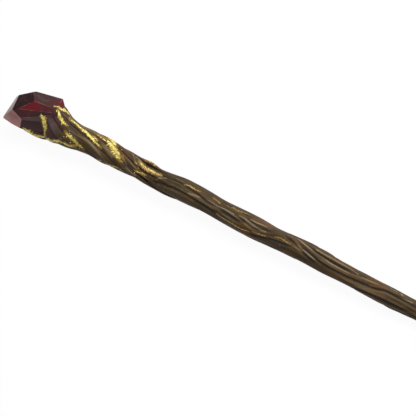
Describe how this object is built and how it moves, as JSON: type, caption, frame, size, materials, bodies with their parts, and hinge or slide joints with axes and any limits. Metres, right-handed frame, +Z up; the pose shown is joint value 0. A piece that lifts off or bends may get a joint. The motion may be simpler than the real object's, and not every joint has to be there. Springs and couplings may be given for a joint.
{
  "type": "toy magic wand",
  "caption": "Toy magic wand: a faceted dark red stone set askew in twisted roots with gold leaf, at the head of a carved brown shaft that tapers to a rounded tip.",
  "frame": {"origin": "on the table, at the middle of the stone's resting facet, under the wand's axis", "axes": "+X from the stone towards the tip, along the table under the wand's axis; +Z up from the table"},
  "size_m": [0.369, 0.029, 0.0263],
  "materials": {
    "red_stone": "polished translucent garnet-red cast resin with flat facets",
    "brass_peg": "turned, plain",
    "steel_rod": "drawn rod, plain",
    "carved_shaft": "cast resin carved with long wood grain, dark brown stain with lighter rubbed ridges, satin",
    "root_bark": "cast resin with root grain, dark brown stain darker in the valleys, satin",
    "gold_leaf": "thin gold leaf with ragged rubbed edges"
  },
  "bodies": {
    "root": {"stone": "red_stone", "stone_peg": "brass_peg", "core_rod": "steel_rod", "shaft": "carved_shaft", "root_1": "root_bark", "root_2": "root_bark", "root_3": "root_bark", "root_4": "root_bark", "root_5": "root_bark", "root_6": "root_bark", "root_7": "root_bark", "gold_leaf_claws": "gold_leaf", "gold_leaf_roots": "gold_leaf", "gold_leaf_shaft": "gold_leaf"}
  },
  "joints": []
}
